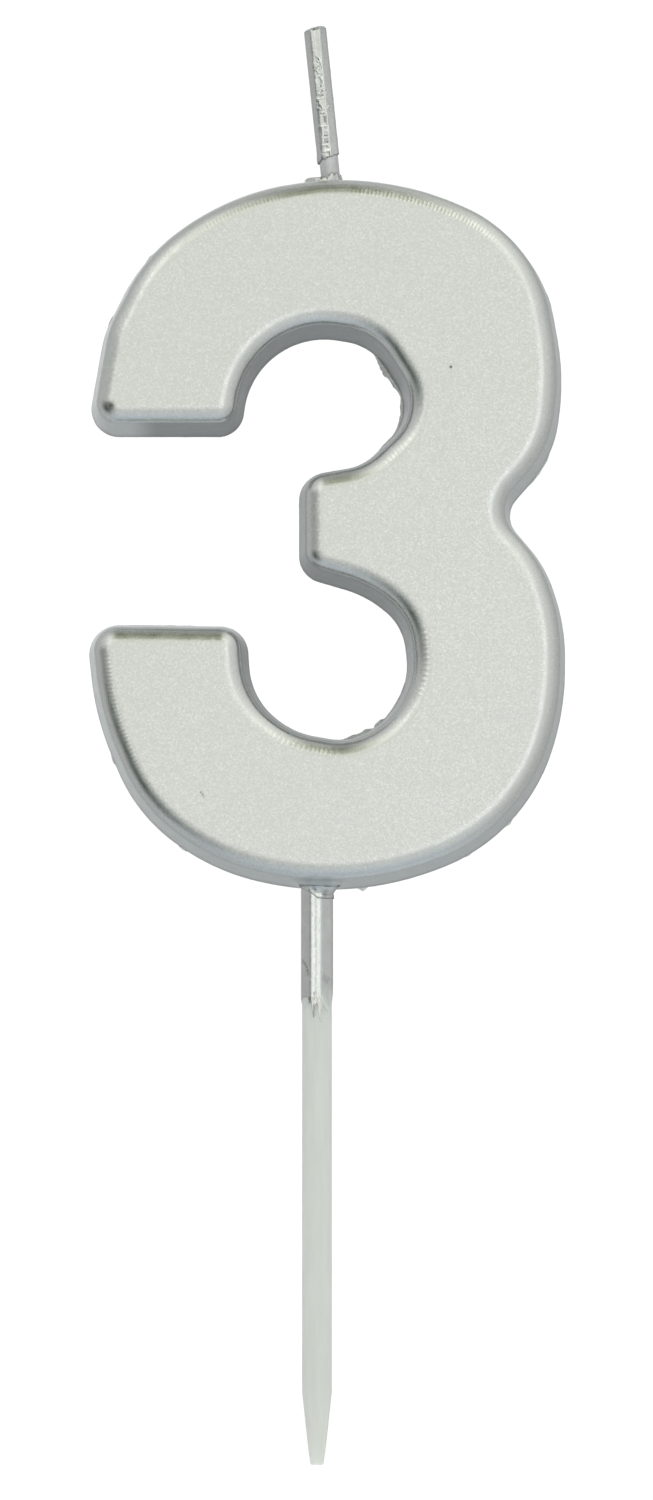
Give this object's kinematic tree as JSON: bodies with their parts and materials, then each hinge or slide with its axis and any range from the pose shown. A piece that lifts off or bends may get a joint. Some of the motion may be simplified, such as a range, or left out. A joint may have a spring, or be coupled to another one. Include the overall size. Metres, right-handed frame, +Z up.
{
  "type": "number birthday candle",
  "caption": "Silver numeral 3 birthday candle: a cast wax number with a rolled edge, a short coated wick and a round plastic pick that pushes into a cake.",
  "frame": {"origin": "on the pick's axis, where the bare round shank begins below the sprayed part", "axes": "+Z up along the pick to the numeral and wick, +X to the right as the numeral is read, and the numeral's face looks along -Y"},
  "size_m": [0.0473, 0.009, 0.1428],
  "materials": {
    "wax": "satin",
    "silver_lacquer": "satin",
    "silver_gloss": "gloss",
    "cotton": "matte",
    "wick_wax": "satin",
    "pick_plastic": "satin"
  },
  "bodies": {
    "root": {"wax_numeral": "wax", "silver_skin": "silver_lacquer", "wick_strand_1": "cotton", "wick_strand_2": "cotton", "wick_strand_3": "cotton", "wick_wax_jacket": "wick_wax", "wick_silver_sleeve": "silver_gloss", "wick_root_bead": "silver_lacquer", "pick_stem": "pick_plastic", "pick_silver_sleeve": "silver_gloss", "pick_root_bead": "silver_lacquer"}
  },
  "joints": []
}
